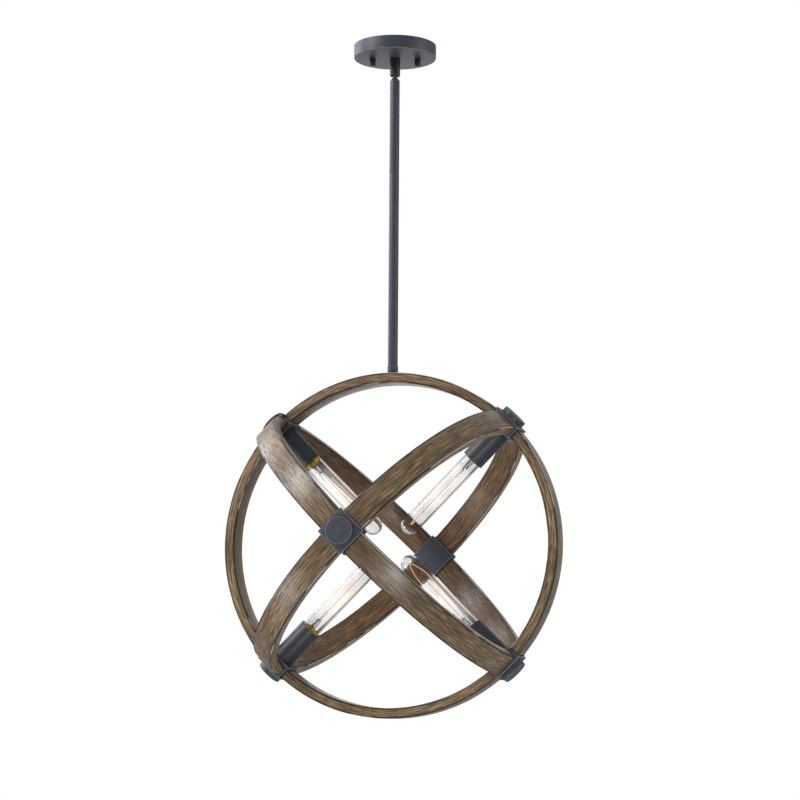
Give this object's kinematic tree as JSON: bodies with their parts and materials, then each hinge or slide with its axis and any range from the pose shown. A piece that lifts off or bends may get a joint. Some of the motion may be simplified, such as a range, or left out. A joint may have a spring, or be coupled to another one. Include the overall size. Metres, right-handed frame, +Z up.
{
  "type": "orb chandelier",
  "caption": "Orb chandelier: round bent-wood hoops crossing at square metal junctions, tube lamps aimed at the centre, hung on a down rod from a hang-straight swivel and round canopy.",
  "frame": {"origin": "middle of the ceiling plane, on which the canopy's rim rests, between the two outlet box screws", "axes": "+Z up out of the ceiling side; the upright hoop lies in the XZ plane; the lampless junctions are in front at -Y and behind at +Y"},
  "size_m": [0.52, 0.5434, 1.0453],
  "materials": {
    "wood": "grey-brown stained veneer, satin, with darker burnished edges",
    "charcoal_metal": "mottled charcoal powder coat, semi-matte",
    "black_metal": "plain black, satin",
    "plated_steel": "zinc plated",
    "green_screw": "green passivated",
    "brass": "bright brass",
    "porcelain": "white glazed porcelain",
    "clear_glass": "clear, polished",
    "lamp_stem": "clear glass stem with a glowing hairpin filament"
  },
  "bodies": {
    "ceiling_mount": {"crossbar": "plated_steel", "box_screws": "plated_steel", "canopy_studs": "plated_steel", "stud_nuts": "plated_steel", "canopy": "charcoal_metal", "cap_nuts": "black_metal", "ground_screw": "green_screw", "swivel_nipple": "plated_steel", "nipple_locknut": "plated_steel", "swivel_collar": "black_metal", "stop_screw": "black_metal"},
    "swivel_ring": {"turning_ring": "plated_steel", "cross_pin": "plated_steel"},
    "top_left_lamp": {"top_left_bulb_glass": "clear_glass", "top_left_bulb_base": "brass", "top_left_filament_mount": "lamp_stem"},
    "top_right_lamp": {"top_right_bulb_glass": "clear_glass", "top_right_bulb_base": "brass", "top_right_filament_mount": "lamp_stem"},
    "bottom_left_lamp": {"bottom_left_bulb_glass": "clear_glass", "bottom_left_bulb_base": "brass", "bottom_left_filament_mount": "lamp_stem"},
    "bottom_right_lamp": {"bottom_right_bulb_glass": "clear_glass", "bottom_right_bulb_base": "brass", "bottom_right_filament_mount": "lamp_stem"},
    "chandelier": {"back_bottom_left_arc": "wood", "back_bottom_right_arc": "wood", "back_junction": "charcoal_metal", "back_top_left_arc": "wood", "back_top_right_arc": "wood", "ball_head": "charcoal_metal", "bottom_left_cup": "charcoal_metal", "bottom_left_junction": "charcoal_metal", "bottom_right_cup": "charcoal_metal", "bottom_right_junction": "charcoal_metal", "centre_contacts": "brass", "foot_locknut": "plated_steel", "foot_nipple": "plated_steel", "front_bottom_left_arc": "wood", "front_bottom_right_arc": "wood", "front_junction": "charcoal_metal", "front_top_left_arc": "wood", "front_top_right_arc": "wood", "junction_caps": "charcoal_metal", "lampholders": "porcelain", "lower_stem": "charcoal_metal", "outer_plates": "charcoal_metal", "screw_shells": "brass", "socket_nipples": "plated_steel", "stem_foot": "charcoal_metal", "stem_joiner": "plated_steel", "top_left_cup": "charcoal_metal", "top_left_junction": "charcoal_metal", "top_right_cup": "charcoal_metal", "top_right_junction": "charcoal_metal", "upper_stem": "charcoal_metal", "upright_bottom_arc": "wood", "upright_left_arc": "wood", "upright_right_arc": "wood", "upright_top_arc": "wood"}
  },
  "joints": [
    {"name": "swivel_spin", "type": "hinge", "parent": "ceiling_mount", "child": "swivel_ring", "pos_m": [0, 0, -0.0425], "axis": [0, 0, 1], "range_deg": [-160, 160]},
    {"name": "stem_lean", "type": "hinge", "parent": "swivel_ring", "child": "chandelier", "pos_m": [0, 0, -0.0425], "axis": [1, 0, 0], "range_deg": [-15, 15]},
    {"name": "top_left_lamp_unscrew", "type": "slide", "parent": "chandelier", "child": "top_left_lamp", "axis": [0.7071, 0, -0.7071], "range_m": [0, 0.02]},
    {"name": "top_right_lamp_unscrew", "type": "slide", "parent": "chandelier", "child": "top_right_lamp", "axis": [-0.7071, 0, -0.7071], "range_m": [0, 0.02]},
    {"name": "bottom_left_lamp_unscrew", "type": "slide", "parent": "chandelier", "child": "bottom_left_lamp", "axis": [0.7071, 0, 0.7071], "range_m": [0, 0.02]},
    {"name": "bottom_right_lamp_unscrew", "type": "slide", "parent": "chandelier", "child": "bottom_right_lamp", "axis": [-0.7071, 0, 0.7071], "range_m": [0, 0.02]}
  ]
}
